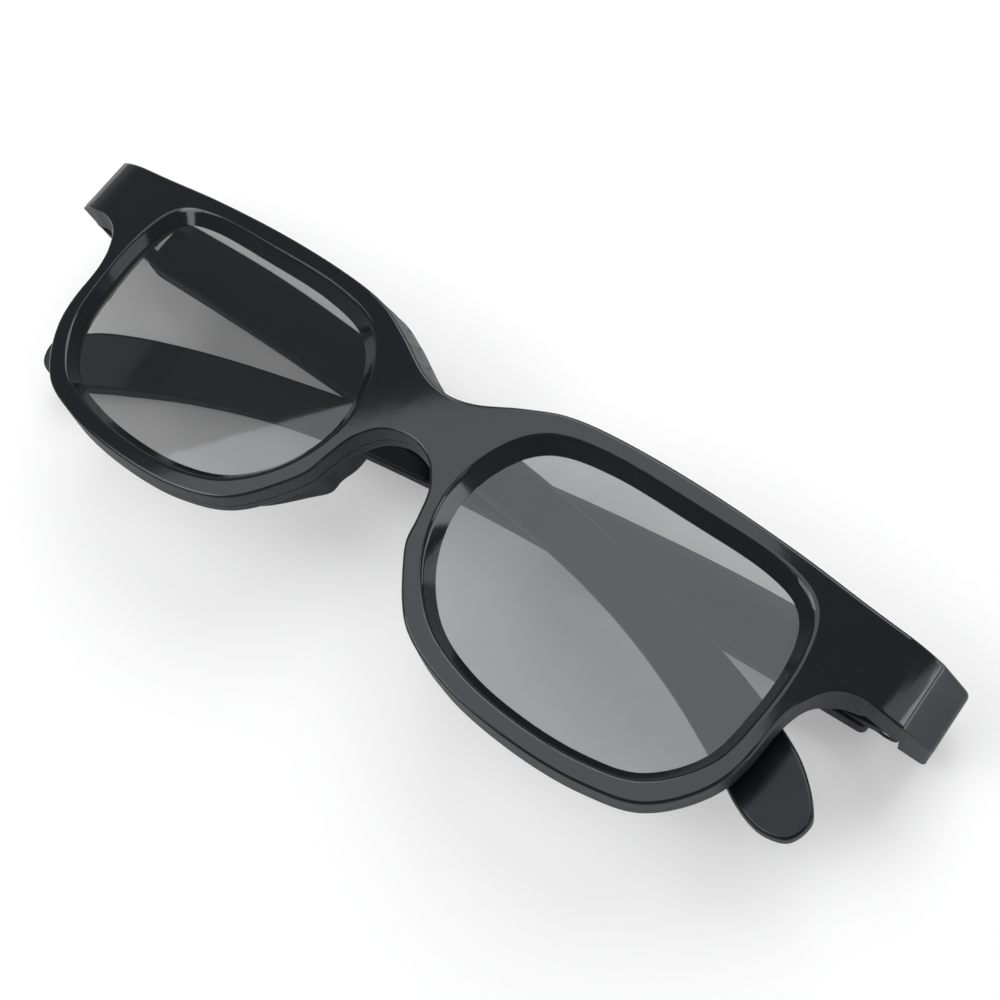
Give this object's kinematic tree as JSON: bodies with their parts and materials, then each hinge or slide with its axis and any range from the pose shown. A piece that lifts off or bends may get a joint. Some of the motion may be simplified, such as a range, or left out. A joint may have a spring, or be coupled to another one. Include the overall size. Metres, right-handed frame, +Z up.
{
  "type": "3d glasses",
  "caption": "Black plastic passive 3D cinema glasses with grey polarised lens films, folded and lying face up; each arm turns on a hinge pin in its end piece.",
  "frame": {"origin": "middle of the footprint on the surface that the folded glasses lie on", "axes": "+X to the viewer's right across the front, +Y towards the brow, +Z up out of the front face; the wearer's right eye is on -X"},
  "size_m": [0.15, 0.0409, 0.023],
  "materials": {
    "black_gloss": "moulded semi-gloss black, slightly blue",
    "black_rear": "moulded semi-gloss black",
    "film_clear": "clear polymer film, neutral",
    "film_grey": "neutral grey polarising film",
    "pin_steel": "drawn wire"
  },
  "bodies": {
    "front": {"front_frame": "black_gloss", "rear_frame": "black_rear", "left_retarder_film": "film_clear", "right_retarder_film": "film_clear", "left_polariser_film": "film_grey", "right_polariser_film": "film_grey", "left_backing_film": "film_clear", "right_backing_film": "film_clear", "left_hinge_pin": "pin_steel", "right_hinge_pin": "pin_steel"},
    "left_arm": {"left_arm": "black_gloss"},
    "right_arm": {"right_arm": "black_gloss"}
  },
  "joints": [
    {"name": "left_hinge", "type": "hinge", "parent": "front", "child": "left_arm", "pos_m": [-0.0692, 0.01435, 0.0058], "axis": [0, 1, 0], "range_deg": [0, 94.2]},
    {"name": "right_hinge", "type": "hinge", "parent": "front", "child": "right_arm", "pos_m": [0.0692, 0.01435, 0.0058], "axis": [0, -1, 0], "range_deg": [0, 90]}
  ]
}
